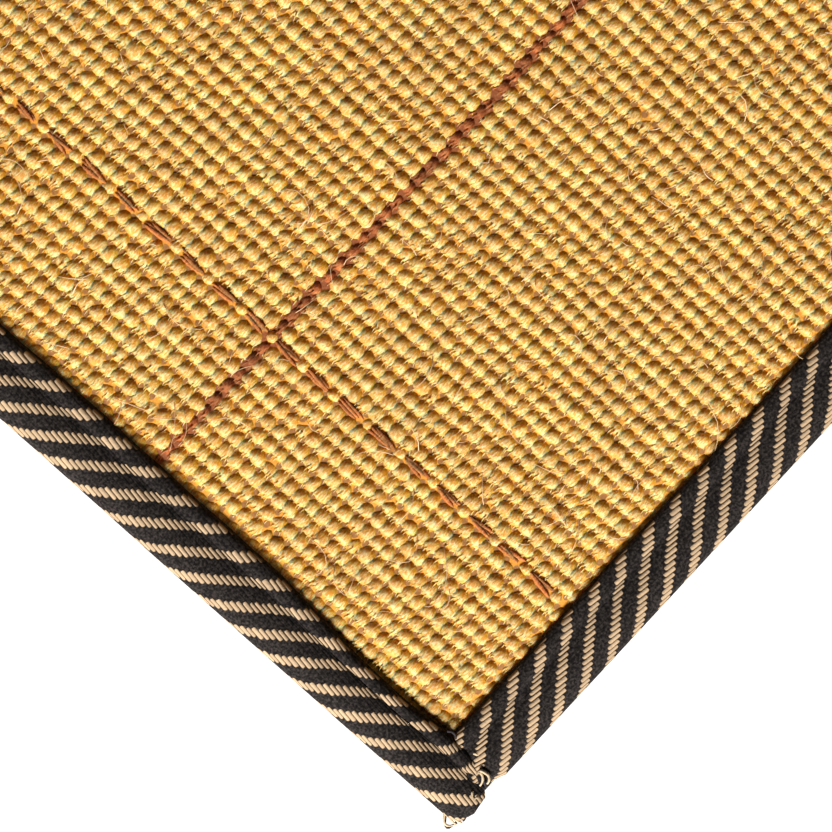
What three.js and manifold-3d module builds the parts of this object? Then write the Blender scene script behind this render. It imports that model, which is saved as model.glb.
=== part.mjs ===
// Flat-woven sisal rug, 900 mm by 600 mm, with its edge bound in cotton tape.
// A ribbed sisal field lies flat on the floor. Four tapes are folded round its edge and sewn down,
// and at each corner the end of one tape is folded over the start of the next.
// Millimetres, +Z up. The origin is under the middle of the rug, on the floor.

import * as THREE from 'three';
import { mergeVertices } from 'three/addons/utils/BufferGeometryUtils.js';
import Module from 'manifold-3d';

const wasm = await Module();
wasm.setup();

// The whole rug.
const rug = {
  length: 900,
  width: 600,
  cornerRadius: 5,
  cornerSteps: 4,
  leastRadius: 0.6,
  edgeRound: 1.6,
  edgeSteps: 3,
  cutHeight: 30,
};

// The woven field: ribs run across the width, side by side along the length.
// Each thin rust rib is closer to its neighbours than the sisal ribs are to each other.
const field = {
  ribPitch: 5.58,
  rustRibs: [-372, -124, 124, 372],
  rustGap: 4.35,
  ribTop: 6.6,
  grooveBottom: 4.9,
  crownHalf: 0.3,
  leastSpan: 1,
  pinchedHeight: 4.3,
  pinchedAt: 22.3,
  fullHeightAt: 28,
  soleFrom: 20.8,
  slabFrom: 2,
};

// The binding tape, as folded round the edge.
const tape = {
  thickness: 1.3,
  clearance: 0.36,
  slotDepth: 24.4,
  crown: 8.9,
  stationStep: 60,
  startAfter: 21.7,
  lapRise: 0.7,
  lapLiftsAbove: 5,
  lapFrom: 33,
  lapFull: 21.7,
};

// How far the edge strays inward between the corners, and how often.
const wander = {
  depth: 0.8,
  slowWaves: 2,
  quickWaves: 5,
  quickShare: 0.35,
};

// The tape's outer face from the hidden inner edge below, round the outside, to the inner edge on top.
// inward is measured from the rug's edge, height from the floor.
const tapeFace = [
  { inward: 19.4, height: 0 },
  { inward: 3.4, height: 0 },
  { inward: 1.2, height: 0.7 },
  { inward: 0.25, height: 2.3 },
  { inward: 0, height: 4.1 },
  { inward: 0.45, height: 5.8 },
  { inward: 1.6, height: 7.2 },
  { inward: 3.4, height: 8.3 },
  { inward: 5.8, height: tape.crown },
  { inward: 8, height: tape.crown },
  { inward: 10.4, height: 8.5 },
  { inward: 12.8, height: 7.8 },
  { inward: 14.6, height: 7.15 },
  { inward: 15.6, height: 6.95 },
  { inward: 16.6, height: 7.25 },
  { inward: 18.2, height: 7.4 },
  { inward: 19.8, height: 6.9 },
  { inward: 21.3, height: 5.9 },
];

// How the two materials look in plain colour.
const sisal = { colour: 0xd6a850, roughness: 0.75 };
const cotton = { colour: 0x2b2830, roughness: 0.9 };

// The four sides in the order in which their tapes were sewn on, anticlockwise from above.
const sides = [
  { name: 'binding_left', from: [-1, 1], to: [-1, -1] },
  { name: 'binding_front', from: [-1, -1], to: [1, -1] },
  { name: 'binding_right', from: [1, -1], to: [1, 1] },
  { name: 'binding_back', from: [1, 1], to: [-1, 1] },
];

// Points closer than this are one point.
const sameSpot = 1e-5;

// Where a side starts, which way it runs, which way is inward, and how long it is.
function sideFrame(side) {
  const half = new THREE.Vector3(rug.length / 2, rug.width / 2, 1);
  const start = new THREE.Vector3(side.from[0], side.from[1], 0).multiply(half);
  const end = new THREE.Vector3(side.to[0], side.to[1], 0).multiply(half);
  const along = end.clone().sub(start);
  const length = along.length();
  along.normalize();
  const inward = new THREE.Vector3(-along.y, along.x, 0);
  return { start, along, inward, length };
}

// The edge is straight at the corners and strays inward a little between them.
function edgeWander(distance, length) {
  const share = distance / length;
  const swell = Math.sin(Math.PI * share) ** 2;
  const slow = 0.5 - 0.5 * Math.cos(2 * Math.PI * wander.slowWaves * share);
  const quick = 0.5 - 0.5 * Math.cos(2 * Math.PI * wander.quickWaves * share);
  return wander.depth * swell * ((1 - wander.quickShare) * slow + wander.quickShare * quick);
}

// A line set in from another by a given distance, on its left-hand side as it goes round the edge.
function offsetLine(line, distance) {
  return line.map((point, i) => {
    const before = line[Math.max(i - 1, 0)];
    const after = line[Math.min(i + 1, line.length - 1)];
    const run = after.inward - before.inward;
    const rise = after.height - before.height;
    const size = Math.hypot(run, rise);
    return {
      inward: point.inward + (rise / size) * distance,
      height: point.height - (run / size) * distance,
    };
  });
}

// A closed section that follows a line and then closes behind it, at a given depth from the edge.
function closedBehind(line, depth) {
  const first = line[0];
  const last = line[line.length - 1];
  return [...line, { inward: depth, height: last.height }, { inward: depth, height: first.height }];
}

// One section set out at a station, with the edge's wander added.
function placeSection(section, frame, distance, rise = 0) {
  const stray = edgeWander(distance, frame.length);
  const base = frame.start.clone().addScaledVector(frame.along, distance);
  return section.map(({ inward, height }) => {
    const point = base.clone().addScaledVector(frame.inward, inward + stray);
    point.z = height + (height > tape.lapLiftsAbove ? rise : 0);
    return point;
  });
}

// Side walls between neighbouring rings of points.
function ringWalls(rings, closed) {
  const size = rings[0].length;
  const faces = [];
  const spans = closed ? rings.length : rings.length - 1;
  for (let r = 0; r < spans; r += 1) {
    const here = r * size;
    const next = ((r + 1) % rings.length) * size;
    for (let i = 0; i < size; i += 1) {
      const j = (i + 1) % size;
      faces.push(here + i, next + i, next + j);
      faces.push(here + i, next + j, here + j);
    }
  }
  return faces;
}

function meshGeometry(points, faces) {
  const geometry = new THREE.BufferGeometry();
  const positions = points.flatMap((point) => [point.x, point.y, point.z]);
  geometry.setAttribute('position', new THREE.Float32BufferAttribute(positions, 3));
  geometry.setIndex(faces);
  return geometry;
}

// A solid swept through sections of the same number of points, with flat ends or joined into a loop.
function sweptSolid(section, rings, closed) {
  const faces = ringWalls(rings, closed);
  if (!closed) {
    const flat = section.map(({ inward, height }) => new THREE.Vector2(inward, height));
    const caps = THREE.ShapeUtils.triangulateShape(flat, []);
    const last = (rings.length - 1) * section.length;
    const clockwise = THREE.ShapeUtils.isClockWise(flat);
    caps.forEach(([a, b, c]) => {
      const near = clockwise ? [c, b, a] : [a, b, c];
      faces.push(...near);
      faces.push(...near.reverse().map((index) => last + index));
    });
  }
  return solidFrom(meshGeometry(rings.flat(), faces));
}

// A closed mesh as a solid, turned the right way out if its faces point inward.
function solidFrom(geometry) {
  geometry.deleteAttribute('normal');
  geometry.deleteAttribute('uv');
  const merged = mergeVertices(geometry, sameSpot);
  const vertProperties = new Float32Array(merged.attributes.position.array);
  const triVerts = new Uint32Array(merged.index.array);
  if (signedVolume(vertProperties, triVerts) < 0) {
    for (let i = 0; i < triVerts.length; i += 3) {
      [triVerts[i + 1], triVerts[i + 2]] = [triVerts[i + 2], triVerts[i + 1]];
    }
  }
  return new wasm.Manifold(new wasm.Mesh({ numProp: 3, vertProperties, triVerts }));
}

function signedVolume(positions, faces) {
  const corner = (k) => new THREE.Vector3().fromArray(positions, 3 * faces[k]);
  let sum = 0;
  for (let i = 0; i < faces.length; i += 3) {
    sum += corner(i).dot(corner(i + 1).cross(corner(i + 2)));
  }
  return sum / 6;
}

function geometryFrom(solid) {
  const { vertProperties, triVerts, numProp } = solid.getMesh();
  const geometry = new THREE.BufferGeometry();
  const positions = new Float32Array((vertProperties.length / numProp) * 3);
  for (let v = 0; v < positions.length / 3; v += 1) {
    positions.set(vertProperties.subarray(v * numProp, v * numProp + 3), 3 * v);
  }
  geometry.setAttribute('position', new THREE.BufferAttribute(positions, 3));
  geometry.setIndex(Array.from(triVerts));
  geometry.computeVertexNormals();
  return geometry;
}

// The rug's outline with its rounded corners, set in from the edge, as a tall upright block.
function roundedBlock(setIn, edgeRound) {
  const x = rug.length / 2 - setIn - edgeRound;
  const y = rug.width / 2 - setIn - edgeRound;
  const radius = Math.max(rug.cornerRadius - setIn - edgeRound, rug.leastRadius);
  const outline = new THREE.Shape();
  outline.moveTo(-x + radius, -y);
  outline.lineTo(x - radius, -y);
  outline.absarc(x - radius, -y + radius, radius, -Math.PI / 2, 0);
  outline.lineTo(x, y - radius);
  outline.absarc(x - radius, y - radius, radius, 0, Math.PI / 2);
  outline.lineTo(-x + radius, y);
  outline.absarc(-x + radius, y - radius, radius, Math.PI / 2, Math.PI);
  outline.lineTo(-x, -y + radius);
  outline.absarc(-x + radius, -y + radius, radius, Math.PI, 1.5 * Math.PI);
  const top = tape.crown + tape.lapRise;
  const depth = edgeRound > 0 ? top - 2 * edgeRound : rug.cutHeight;
  const block = new THREE.ExtrudeGeometry(outline, {
    depth,
    curveSegments: rug.cornerSteps,
    bevelEnabled: edgeRound > 0,
    bevelThickness: edgeRound,
    bevelSize: edgeRound,
    bevelSegments: rug.edgeSteps,
  });
  block.translate(0, 0, edgeRound > 0 ? edgeRound : -rug.cutHeight / 2);
  return solidFrom(block);
}

// Distances along a side at which a section is set out.
function stationsBetween(start, end) {
  const count = Math.round((end - start) / tape.stationStep);
  return Array.from({ length: count + 1 }, (_, i) => start + ((end - start) * i) / count);
}

// A band that runs right round the rug with mitred corners, following the tape's face at a distance.
function edgeBand(setIn, depth) {
  const section = closedBehind(offsetLine(tapeFace, setIn), depth);
  const rings = [];
  sides.forEach((side, k) => {
    const frame = sideFrame(side);
    const previous = sideFrame(sides[(k + sides.length - 1) % sides.length]);
    const diagonal = frame.inward.clone().add(previous.inward);
    rings.push(
      section.map(({ inward, height }) => {
        const point = frame.start.clone().addScaledVector(diagonal, inward);
        point.z = height;
        return point;
      }),
    );
    stationsBetween(tape.lapFrom, frame.length - tape.lapFrom).forEach((distance) => {
      rings.push(placeSection(section, frame, distance));
    });
  });
  return sweptSolid(section, rings, true).intersect(roundedBlock(setIn, 0));
}

// One tape, from where it comes out from under the last one to where it folds over the next.
function bindingTape(side, slot, outline) {
  const frame = sideFrame(side);
  const stations = stationsBetween(tape.startAfter, frame.length - tape.lapFrom);
  const rings = stations.map((distance) => placeSection(tapeFace, frame, distance));
  rings.push(placeSection(tapeFace, frame, frame.length - tape.lapFull, tape.lapRise));
  rings.push(placeSection(tapeFace, frame, frame.length, tape.lapRise));
  return sweptSolid(tapeFace, rings, false).intersect(outline).subtract(slot);
}

// Height of the woven face above the floor at a distance from the edge, for a share of the rib's height.
function wovenHeight(fromEdge, ribShare) {
  const full = THREE.MathUtils.smoothstep(fromEdge, field.pinchedAt, field.fullHeightAt);
  const ribbed = THREE.MathUtils.lerp(field.grooveBottom, field.ribTop, ribShare);
  return THREE.MathUtils.lerp(field.pinchedHeight, ribbed, full);
}

// Where the middle of each rib is, along the length.
function ribLines() {
  const limit = rug.length / 2 - field.pinchedAt - field.leastSpan;
  const rust = field.rustRibs;
  const lines = [...rust];
  for (let x = rust[0] - field.rustGap; x > -limit; x -= field.ribPitch) {
    lines.push(x, -x);
  }
  for (let k = 0; k < rust.length - 1; k += 1) {
    const first = rust[k] + field.rustGap;
    const room = rust[k + 1] - field.rustGap - first;
    const count = Math.round(room / field.ribPitch);
    for (let i = 0; i <= count; i += 1) {
      lines.push(first + (room * i) / count);
    }
  }
  return lines.sort((a, b) => a - b);
}

// The ribbed slab between the tapes: one row of points for each groove and two for each rib's crown.
function ribbedSlab() {
  const halfX = rug.length / 2 - field.pinchedAt;
  const halfY = rug.width / 2 - field.pinchedAt;
  const ribs = ribLines();
  const columns = [{ x: -halfX, share: 0 }];
  ribs.forEach((x, i) => {
    const before = i > 0 ? ribs[i - 1] : -halfX;
    const after = i < ribs.length - 1 ? ribs[i + 1] : halfX;
    const crown = field.crownHalf * Math.min(x - before, after - x);
    columns.push({ x: x - crown, share: 1 });
    columns.push({ x: x + crown, share: 1 });
    columns.push({ x: i < ribs.length - 1 ? (x + after) / 2 : halfX, share: 0 });
  });
  const fall = field.fullHeightAt - field.pinchedAt;
  const rows = [-halfY, -halfY + fall, halfY - fall, halfY];
  const points = [];
  rows.forEach((y) => {
    columns.forEach(({ x, share }) => {
      const fromEdge = Math.min(rug.length / 2 - Math.abs(x), rug.width / 2 - Math.abs(y));
      points.push(new THREE.Vector3(x, y, wovenHeight(fromEdge, share)));
    });
  });
  return closeBelow(points, columns.length, rows.length);
}

// A grid of points closed by four upright walls and a flat underside.
function closeBelow(points, across, down) {
  const faces = [];
  for (let r = 0; r < down - 1; r += 1) {
    for (let c = 0; c < across - 1; c += 1) {
      const here = r * across + c;
      faces.push(here, here + 1, here + across + 1);
      faces.push(here, here + across + 1, here + across);
    }
  }
  const last = (down - 1) * across;
  const corners = [0, across - 1, last + across - 1, last];
  const foot = corners.map((index, k) => {
    points.push(new THREE.Vector3(points[index].x, points[index].y, field.slabFrom));
    return across * down + k;
  });
  const front = Array.from({ length: across }, (_, c) => c);
  const right = Array.from({ length: down }, (_, r) => r * across + across - 1);
  const back = front.map((c) => last + across - 1 - c);
  const left = right.map((index, r) => (down - 1 - r) * across);
  [front, right, back, left].forEach((edge, k) => {
    const low = foot[k];
    for (let i = 0; i < edge.length - 1; i += 1) {
      faces.push(low, edge[i + 1], edge[i]);
    }
    faces.push(low, foot[(k + 1) % foot.length], edge[edge.length - 1]);
  });
  faces.push(foot[0], foot[2], foot[1]);
  faces.push(foot[0], foot[3], foot[2]);
  return solidFrom(meshGeometry(points, faces));
}

// The flat sole that the rug rests on, inside the tapes' lower edges.
function flatSole() {
  const sole = new THREE.BoxGeometry(
    rug.length - 2 * field.soleFrom,
    rug.width - 2 * field.soleFrom,
    field.pinchedHeight,
  );
  sole.translate(0, 0, field.pinchedHeight / 2);
  return solidFrom(sole);
}

function sisalField() {
  const rim = edgeBand(tape.thickness + tape.clearance, field.pinchedAt + tape.clearance);
  return rim.add(flatSole()).add(ribbedSlab());
}

function namedMesh(name, solid, finish) {
  const { colour, roughness } = finish;
  const material = new THREE.MeshStandardMaterial({ color: colour, roughness, metalness: 0 });
  const mesh = new THREE.Mesh(geometryFrom(solid), material);
  mesh.name = name;
  return mesh;
}

const rugGroup = new THREE.Group();
rugGroup.add(namedMesh('sisal_field', sisalField(), sisal));
const slot = edgeBand(tape.thickness, tape.slotDepth);
const outline = roundedBlock(0, rug.edgeRound);
sides.forEach((side) => {
  rugGroup.add(namedMesh(side.name, bindingTape(side, slot, outline), cotton));
});

export default rugGroup;
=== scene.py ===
import math

import bmesh
import bpy
import numpy as np
from mathutils import Matrix, Vector


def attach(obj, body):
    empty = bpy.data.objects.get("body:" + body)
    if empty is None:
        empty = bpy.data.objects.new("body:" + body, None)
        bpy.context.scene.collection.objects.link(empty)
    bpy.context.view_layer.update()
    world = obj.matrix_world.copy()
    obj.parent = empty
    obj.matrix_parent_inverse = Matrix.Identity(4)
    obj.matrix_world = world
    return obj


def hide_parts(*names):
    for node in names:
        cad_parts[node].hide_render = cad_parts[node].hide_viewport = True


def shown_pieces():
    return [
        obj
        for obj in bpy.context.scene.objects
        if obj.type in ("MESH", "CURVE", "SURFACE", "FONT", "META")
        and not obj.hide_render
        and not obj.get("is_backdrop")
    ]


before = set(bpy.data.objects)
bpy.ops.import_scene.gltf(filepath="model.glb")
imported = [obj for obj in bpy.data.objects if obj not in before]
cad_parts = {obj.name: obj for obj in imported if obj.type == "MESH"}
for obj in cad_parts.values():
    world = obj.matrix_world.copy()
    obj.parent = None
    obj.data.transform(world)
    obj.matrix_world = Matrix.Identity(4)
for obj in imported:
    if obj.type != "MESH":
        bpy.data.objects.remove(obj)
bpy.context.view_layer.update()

mm = 0.001
dice = np.random.default_rng(7)
bpy.context.scene.view_settings.view_transform = "Standard"

# A sisal rug seen from above one corner: ribs of plump sisal beads over recessed yarns,
# thin rust check lines, and a striped cotton tape folded round the edge.
rug = {
    "length": 900 * mm,
    "width": 600 * mm,
    "body": "root",
}
halfX, halfY = rug["length"] / 2, rug["width"] / 2


# Small helpers

def linearColour(code):
    # sRGB hex to linear
    channels = [int(code[i:i + 2], 16) / 255 for i in (1, 3, 5)]
    return [c / 12.92 if c <= 0.04045 else ((c + 0.055) / 1.055) ** 2.4 for c in channels] + [1.0]


def plug(tree, source, socket):
    # a node stands for the first of its outputs in use
    if isinstance(source, bpy.types.Node):
        source = next(output for output in source.outputs if output.enabled)
    tree.links.new(source, socket)


def addNode(tree, kind, settings=None, links=None):
    # settings go to the node's own properties or, by name or number, to its sockets, and a hex value
    # is a colour; links come from sockets or nodes
    node = tree.nodes.new("ShaderNode" + kind)
    for key, value in (settings or {}).items():
        if isinstance(value, str) and value.startswith("#"):
            value = linearColour(value)
        if isinstance(key, str) and hasattr(node, key) and key not in node.inputs:
            setattr(node, key, value)
        else:
            node.inputs[key].default_value = value
    for key, source in (links or {}).items():
        plug(tree, source, node.inputs[key])
    return node


def newMaterial(name, roughness, gloss=0.5):
    material = bpy.data.materials.new(name)
    material.use_nodes = True
    skin = material.node_tree.nodes["Principled BSDF"]
    skin.inputs["Roughness"].default_value = roughness
    skin.inputs["Specular IOR Level"].default_value = gloss
    return material, material.node_tree, skin


def pickOnly(piece=None):
    if bpy.context.object and bpy.context.object.mode != "OBJECT":
        bpy.ops.object.mode_set(mode="OBJECT")
    for thing in bpy.context.selected_objects:
        thing.select_set(False)
    if piece:
        piece.select_set(True)
        bpy.context.view_layer.objects.active = piece


def meshPiece(name, points, faces, material):
    # faces is a list of arrays, each with one row of corner numbers a face
    mesh = bpy.data.meshes.new(name)
    sizes = np.concatenate([np.full(len(f), f.shape[1]) for f in faces])
    loops = np.concatenate([f.ravel() for f in faces]).astype(np.int32)
    starts = np.concatenate([[0], np.cumsum(sizes)[:-1]]).astype(np.int32)
    mesh.vertices.add(len(points))
    mesh.vertices.foreach_set("co", np.asarray(points, np.float32).ravel())
    mesh.loops.add(len(loops))
    mesh.loops.foreach_set("vertex_index", loops)
    mesh.polygons.add(len(sizes))
    mesh.polygons.foreach_set("loop_start", starts)
    mesh.polygons.foreach_set("use_smooth", np.ones(len(sizes), bool))
    mesh.update(calc_edges=True)
    mesh.validate()
    piece = bpy.data.objects.new(name, mesh)
    bpy.context.scene.collection.objects.link(piece)
    piece.data.materials.append(material)
    return piece


def gridFaces(rows, columns):
    index = np.arange(rows * columns).reshape(rows, columns)
    return np.stack([index[:-1, :-1], index[1:, :-1], index[1:, 1:], index[:-1, 1:]], 2).reshape(-1, 4)


def addValues(piece, name, values):
    layer = piece.data.attributes.new(name, "FLOAT", "POINT")
    layer.data.foreach_set("value", np.asarray(values, np.float32))


def shapeOf(thing):
    # the points of a modelled piece and its faces, grouped by their number of corners
    mesh = thing.data
    points = np.array([v.co for v in mesh.vertices])
    groups = {}
    for face in mesh.polygons:
        groups.setdefault(len(face.vertices), []).append(list(face.vertices))
    return points, [np.array(groups[size]) for size in sorted(groups)]


def copyMany(shapes, which, places, lengths, widths, heights, turns):
    # one array of points and faces for many scaled, turned copies of a few modelled shapes
    allPoints, allFaces, counts, sides, first = [], {}, [], [], 0
    for kind, (points, faces) in enumerate(shapes):
        chosen = np.flatnonzero(which == kind)
        scaled = points[None] * np.stack([lengths, widths, heights], 1)[chosen][:, None]
        c, s = np.cos(turns[chosen])[:, None], np.sin(turns[chosen])[:, None]
        turned = np.stack([scaled[..., 0] * c - scaled[..., 1] * s,
                           scaled[..., 0] * s + scaled[..., 1] * c, scaled[..., 2]], 2)
        allPoints.append((turned + places[chosen][:, None]).reshape(-1, 3))
        offsets = first + np.arange(len(chosen)) * len(points)
        for group in faces:
            shifted = (group[None] + offsets[:, None, None]).reshape(-1, group.shape[1])
            allFaces.setdefault(group.shape[1], []).append(shifted)
        counts.append((chosen, len(points)))
        sides.append(np.tile(points[:, 0], len(chosen)))
        first += len(chosen) * len(points)
    order = np.concatenate([np.repeat(chosen, size) for chosen, size in counts])
    faces = [np.concatenate(allFaces[k]) for k in sorted(allFaces)]
    return np.concatenate(allPoints), faces, order, np.concatenate(sides)


# How the weave is laid out. Rows run along Y and follow each other along X.
weave = {
    "rowPitch": 5.58 * mm,
    "beadPitch": 4.78 * mm,
    "rustRows": (-372 * mm, -124 * mm, 124 * mm, 372 * mm),
    "rustColumns": (-144.2 * mm, 144.2 * mm),
    "rustRowGap": 4.35 * mm,  # from a rust row to the sisal row on each side
    "rustColumnGap": 4.0 * mm,
    "edge": 21 * mm,  # the tape's inner edge, from the rug's edge
    "waveHeight": 0.45 * mm,
    "beadTop": 6.7 * mm,
    "grooveFloor": 3.8 * mm,
    "pinchedDrop": 1.02 * mm,
    "pinchedLoss": 0.36,  # share of a bead's height that the tape takes
    "pinchedWidth": 3.6 * mm,
    "startsAt": 17.5 * mm,  # the first row, from the rug's edge
    "hiddenTo": 16 * mm,  # beads nearer the edge are inside the tape and left out
}


def spacedLines(limit, special, gap, pitch):
    # positions of all rows, closing up at the special ones, and which of them are special
    stops = sorted(special)
    positions, marks = [], []
    x = stops[0] - gap
    while x > -limit:
        positions.append(x)
        marks.append(False)
        x -= pitch
    for here, after in zip(stops, stops[1:] + [None]):
        positions.append(here)
        marks.append(True)
        if after is None:
            x = here + gap
            while x < limit:
                positions.append(x)
                marks.append(False)
                x += pitch
        else:
            room = after - here - 2 * gap
            count = round(room / pitch)
            positions += [here + gap + room * i / count for i in range(count + 1)]
            marks += [False] * (count + 1)
    order = np.argsort(positions)
    return np.array(positions)[order], np.array(marks)[order]


def softWaves(x, y, seed, spans):
    # slow unevenness of a hand-set weave, from -1 to 1
    rng = np.random.default_rng(seed)
    total = np.zeros(np.broadcast(x, y).shape)
    for span in spans:
        angle, phase = rng.uniform(0, math.pi), rng.uniform(0, 2 * math.pi)
        total += np.sin(2 * math.pi * (x * math.cos(angle) + y * math.sin(angle)) / span + phase)
    return total / len(spans)


def swayed(x, y):
    # where a woven point really lies
    spans = (70 * mm, 130 * mm, 220 * mm)
    dx = weave["waveHeight"] * softWaves(x, y, 11, spans)
    dy = weave["waveHeight"] * softWaves(x, y, 12, spans)
    return x + dx, y + dy


def ease(value):
    t = np.clip(value, 0, 1)
    return t * t * (3 - 2 * t)


def pinch(x, y):
    # 1 in the open weave, 0 where the tape presses it down
    inside = np.minimum(halfX - np.abs(x), halfY - np.abs(y)) - weave["edge"]
    return ease(inside / weave["pinchedWidth"])


rowX, rustRow = spacedLines(halfX - weave["startsAt"], weave["rustRows"],
                            weave["rustRowGap"], weave["rowPitch"])
beadY, rustColumn = spacedLines(halfY - weave["startsAt"], weave["rustColumns"],
                                weave["rustColumnGap"], weave["beadPitch"])
print("weave laid out:", len(rowX), "rows of", len(beadY), "beads")


# Finishes

def sisalYarn(name, lit, gold, paintedShadeTan, paintedShadeBrown, unlike=0.2):
    # Spun sisal: golden leaf fibre laid side by side across the row, slightly waxy. Each bead's front
    # is painted paler as painted light, and its back streaky brown as painted shade, by the side attribute.
    # Fibres are drawn 0.7 mm apart, about twice their real size, so that they still show.
    material, tree, skin = newMaterial(name, 0.5, 0.3)
    place = addNode(tree, "TexCoord").outputs["Object"]
    stretch = addNode(tree, "Mapping", {"Scale": (460, 1800, 1200)}, {"Vector": place})
    fibres = addNode(tree, "TexNoise", {"Scale": 1.0, "Detail": 3.0, "Roughness": 0.65},
                     {"Vector": stretch})
    patches = addNode(tree, "TexNoise", {"Scale": 60.0, "Detail": 2.0}, {"Vector": place})
    tone, side = [addNode(tree, "Attribute", {"attribute_name": key}).outputs["Fac"]
                  for key in ("tone", "side")]
    streak = addNode(tree, "MapRange", {"From Min": 0.43, "From Max": 0.58}, {"Value": fibres})
    front = addNode(tree, "Mix", {"data_type": "RGBA", "A": gold, "B": lit}, {"Factor": streak})
    back = addNode(tree, "Mix", {"data_type": "RGBA", "A": paintedShadeBrown, "B": paintedShadeTan}, {"Factor": streak})
    # the painted lit front gives way to the painted shade of the back along a ragged line
    ragged = addNode(tree, "Math", {"operation": "MULTIPLY_ADD", 1: -1.6, 2: 0.8}, {0: fibres})
    edge = addNode(tree, "Math", {"operation": "ADD"}, {0: side, 1: ragged})
    turn = addNode(tree, "MapRange", {"From Min": -0.05, "From Max": 0.65}, {"Value": edge})
    colour = addNode(tree, "Mix", {"data_type": "RGBA"}, {"Factor": turn, "A": front, "B": back})
    # painted shade: brown notches between the fibres at the very front
    ahead = addNode(tree, "Math", {"operation": "SUBTRACT"}, {0: fibres, 1: side})
    notch = addNode(tree, "MapRange", {"From Min": 1.05, "From Max": 1.4, "To Max": 0.8}, {"Value": ahead})
    notched = addNode(tree, "Mix", {"data_type": "RGBA", "B": paintedShadeBrown}, {"Factor": notch, "A": colour})
    # no two beads are quite alike
    level = addNode(tree, "Math", {"operation": "MULTIPLY_ADD", 1: 0.35, 2: 0.82 - unlike / 2}, {0: patches})
    levelTone = addNode(tree, "Math", {"operation": "MULTIPLY_ADD", 1: unlike}, {0: tone, 2: level})
    tint = addNode(tree, "HueSaturation", None, {"Color": notched, "Value": levelTone})
    bump = addNode(tree, "Bump", {"Strength": 1.0, "Distance": 0.9 * mm}, {"Height": fibres})
    plug(tree, tint, skin.inputs["Base Color"])
    plug(tree, bump, skin.inputs["Normal"])
    # light passes a little way through the loose fibre and comes out orange
    skin.inputs["Subsurface Weight"].default_value = 0.85
    skin.inputs["Subsurface Radius"].default_value = (1.0, 0.68, 0.4)
    skin.inputs["Subsurface Scale"].default_value = 1.8 * mm
    return material


def groundYarn(name, dot, rope, rust):
    # Sisal core yarn: dull and rough, orange below the beads, brown where it shows as a dot between
    # four of them, and rust brown along the dyed lines
    material, tree, skin = newMaterial(name, 0.8)
    place = addNode(tree, "TexCoord").outputs["Object"]
    row, column, stained = [addNode(tree, "Attribute", {"attribute_name": key}).outputs["Fac"]
                            for key in ("rowNumber", "beadNumber", "rust")]
    fromRow = addNode(tree, "Math", {"operation": "PINGPONG", 1: 0.5}, {0: row})
    fromColumn = addNode(tree, "Math", {"operation": "PINGPONG", 1: 0.5}, {0: column})
    rowSquare = addNode(tree, "Math", {"operation": "POWER", 1: 2.0}, {0: fromRow})
    columnSquare = addNode(tree, "Math", {"operation": "POWER", 1: 2.0}, {0: fromColumn})
    away = addNode(tree, "Math", {"operation": "ADD"}, {0: rowSquare, 1: columnSquare})
    show = addNode(tree, "MapRange", {"From Min": 0.075, "From Max": 0.045}, {"Value": away})
    grain = addNode(tree, "TexNoise", {"Scale": 1500.0, "Detail": 2.0}, {"Vector": place})
    mix = addNode(tree, "Mix", {"data_type": "RGBA", "A": rope, "B": dot}, {"Factor": show})
    dyed = addNode(tree, "MapRange", {"From Min": 0.45, "From Max": 0.8}, {"Value": stained})
    coloured = addNode(tree, "Mix", {"data_type": "RGBA", "B": rust}, {"Factor": dyed, "A": mix})
    level = addNode(tree, "MapRange", {"To Min": 0.6, "To Max": 1.4}, {"Value": grain})
    tint = addNode(tree, "HueSaturation", None, {"Color": coloured, "Value": level})
    bump = addNode(tree, "Bump", {"Strength": 0.6, "Distance": 0.4 * mm}, {"Height": grain})
    plug(tree, tint, skin.inputs["Base Color"])
    plug(tree, bump, skin.inputs["Normal"])
    return material


# in each yarn the first two colours are the painted lit front of a bead, the last two the painted shade of
# its back
sisalFinish = sisalYarn("spunSisal", "#ffe2a2", "#eaa848", "#ffc044", "#e69a1a")
rustFinish = sisalYarn("rustSisal", "#c47c46", "#aa5a22", "#a04c18", "#7c3208", 0.5)
flossFinish = sisalYarn("rustSisalFloss", "#c67c42", "#b06428", "#a4561a", "#843c0e", 0.4)
recessFinish = groundYarn("sisalCoreYarn", "#96642e", "#dc942c", "#8c4a1e")


# The ground of the weave: a thin slab under the beads, with a corner between each four of them
ground = {
    "name": "wovenGround",
    "rim": 447.6 * mm,
    "top": 5.1 * mm,
    "pressed": 2.9 * mm,  # below the tape
    "under": 1.9 * mm,
    "rimRise": 0.6 * mm,
    "rimDrop": 1.9 * mm,
    "soleFrom": 20.6 * mm,
    "sole": 0.1 * mm,
}


def between(positions):
    # the midpoints between the positions, and one more beyond each end
    middles = (positions[1:] + positions[:-1]) / 2
    return np.concatenate([[2 * positions[0] - middles[0]], middles, [2 * positions[-1] - middles[-1]]])


def makeGround():
    x, y = np.meshgrid(cellX, cellY, indexing="ij")
    z = ground["pressed"] + (ground["top"] - ground["pressed"]) * pinch(x, y)
    wx, wy = swayed(x, y)
    points = np.stack([wx, wy, z], 2).reshape(-1, 3)
    piece = meshPiece(ground["name"], points, [gridFaces(*x.shape)], recessFinish)
    closeGround(piece)
    rows, columns = np.meshgrid(np.arange(len(cellX)), np.arange(len(cellY)), indexing="ij")
    dyed = np.flatnonzero(rustColumn)
    beside = np.isin(columns, dyed) | np.isin(columns - 1, dyed)
    for name, values in (("rust", beside), ("rowNumber", rows), ("beadNumber", columns)):
        atPoints = np.zeros(len(piece.data.vertices))
        atPoints[:x.size] = values.ravel()
        addValues(piece, name, atPoints)
    return piece


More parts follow.
